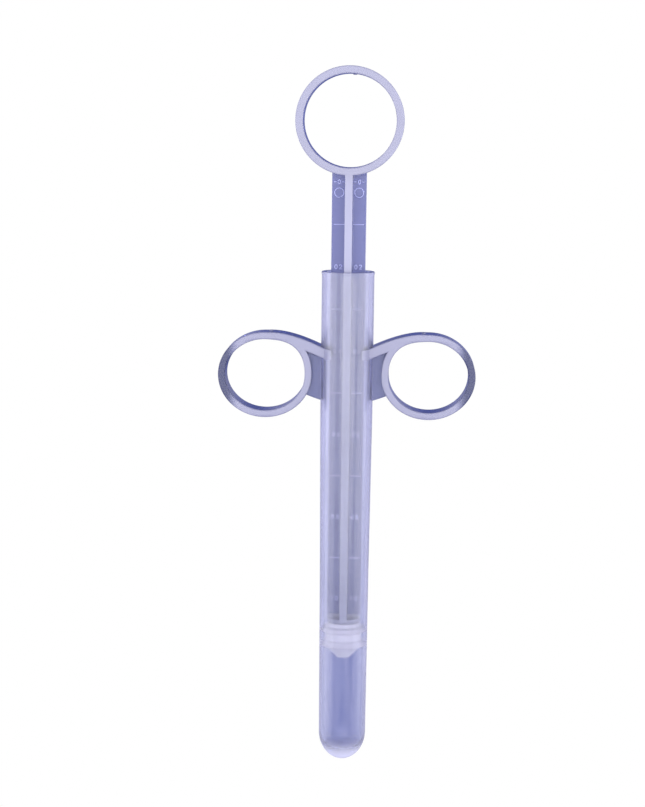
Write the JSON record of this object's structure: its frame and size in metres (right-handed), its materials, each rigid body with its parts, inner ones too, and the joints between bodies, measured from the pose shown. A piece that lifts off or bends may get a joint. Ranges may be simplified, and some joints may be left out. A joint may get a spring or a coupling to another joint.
{
  "type": "ring-handled oral dosing syringe",
  "caption": "Ring-handled dosing syringe: round-nosed tapered barrel with two finger rings, ribbed plunger with a thumb ring and a scale, and a two-lip piston.",
  "frame": {"origin": "lowest point of the barrel's round nose, on the barrel's axis", "axes": "+Z along the barrel from the nose to the thumb ring, +X towards the right finger ring as seen from the scale side, -Y is the side with the scale"},
  "size_m": [0.0652, 0.0132, 0.1782],
  "materials": {
    "tinted_plastic": "translucent, smooth moulded",
    "rod_plastic": "translucent, smooth moulded",
    "piston_elastomer": "soft, milky, satin",
    "scale_relief": "raised moulded strokes that catch the light"
  },
  "bodies": {
    "barrel": {"barrel_tube": "tinted_plastic", "barrel_nose": "tinted_plastic", "finger_ring_left": "tinted_plastic", "finger_ring_right": "tinted_plastic", "ring_arm_left": "tinted_plastic", "ring_arm_right": "tinted_plastic"},
    "piston": {"piston_seal": "piston_elastomer"},
    "plunger": {"plunger_rod": "rod_plastic", "plunger_head": "rod_plastic", "thumb_ring": "rod_plastic", "graduation_lines": "scale_relief", "graduation_numerals": "scale_relief"}
  },
  "joints": [
    {"name": "plunger_slide", "type": "slide", "parent": "barrel", "child": "piston", "axis": [0, 0, 1], "range_m": [-0.0236, 0.0843]},
    {"name": "rod_spin", "type": "hinge", "parent": "piston", "child": "plunger", "pos_m": [0, 0, 0.0365], "axis": [0, 0, 1], "continuous": true}
  ]
}
